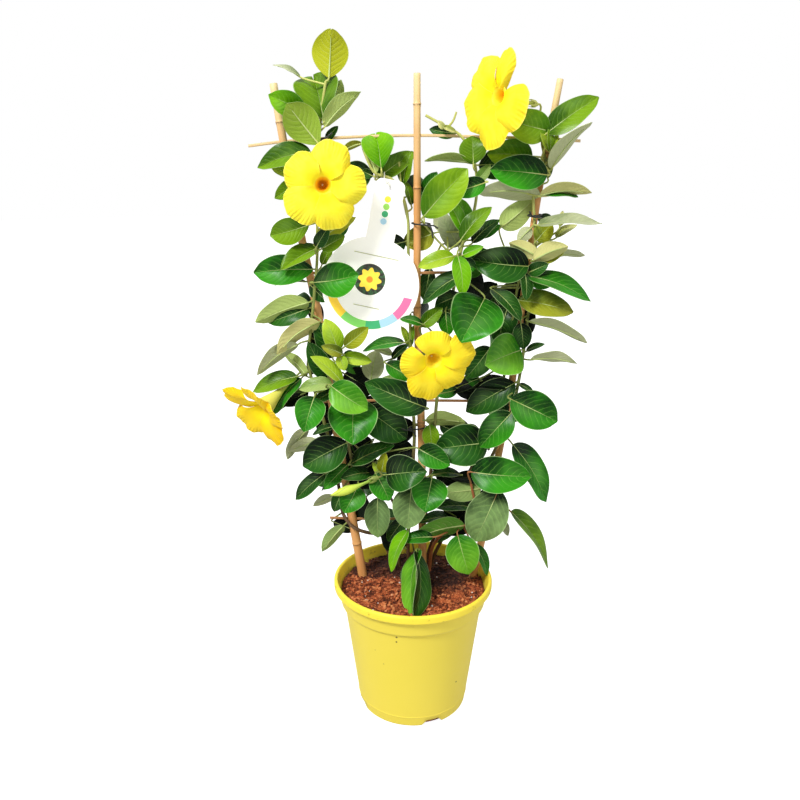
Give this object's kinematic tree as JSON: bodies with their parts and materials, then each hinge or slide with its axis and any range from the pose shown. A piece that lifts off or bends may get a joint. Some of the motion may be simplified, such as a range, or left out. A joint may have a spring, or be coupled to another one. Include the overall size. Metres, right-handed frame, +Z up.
{
  "type": "potted flowering climber on a trellis",
  "caption": "Twining plant with glossy green leaves and yellow funnel blooms, tied to a bamboo fan trellis in a round plastic nursery pot with a hang label.",
  "frame": {"origin": "centre of the pot's underside, on the surface that the pot stands on", "axes": "+Z up along the pot's axis; -Y towards the viewer, with the fan trellis in an upright plane across X"},
  "size_m": [0.3657, 0.17, 0.69],
  "materials": {
    "pot_plastic": "satin moulded polypropylene, yellow",
    "soil": "rough damp peat with bark crumbs and perlite",
    "bamboo": "dry waxy bamboo skin with darker nodes",
    "tie_plastic": "soft black plastic",
    "label_card": "printed coated card",
    "thread": "thin white elastic thread",
    "foliage": "glossy leathery leaves with green and brown stems",
    "petal": "soft matte petals, bright yellow with an orange throat",
    "bud": "smooth yellow-green bud"
  },
  "bodies": {
    "root": {"pot": "pot_plastic", "soil": "soil", "cane_left": "bamboo", "cane_centre": "bamboo", "cane_right": "bamboo", "crossbar_top": "bamboo", "crossbar_upper": "bamboo", "crossbar_middle": "bamboo", "crossbar_lower": "bamboo", "tie_centre_high": "tie_plastic", "tie_centre_low": "tie_plastic", "tie_right_high": "tie_plastic", "tie_right_middle": "tie_plastic", "tie_right_low": "tie_plastic", "tie_bar_left": "tie_plastic", "label": "label_card", "label_thread": "thread", "bloom_left": "petal", "bloom_top": "petal", "bloom_side": "petal", "bloom_centre": "petal", "bud_long": "bud", "leafy_stem_left": "foliage", "leafy_stem_left_inner": "foliage", "leafy_stem_centre": "foliage", "leafy_stem_middle": "foliage", "leafy_stem_right": "foliage", "leafy_stem_right_inner": "foliage", "leafy_stem_low_centre": "foliage", "leafy_stem_low_right": "foliage", "leafy_stem_hanging": "foliage"}
  },
  "joints": []
}
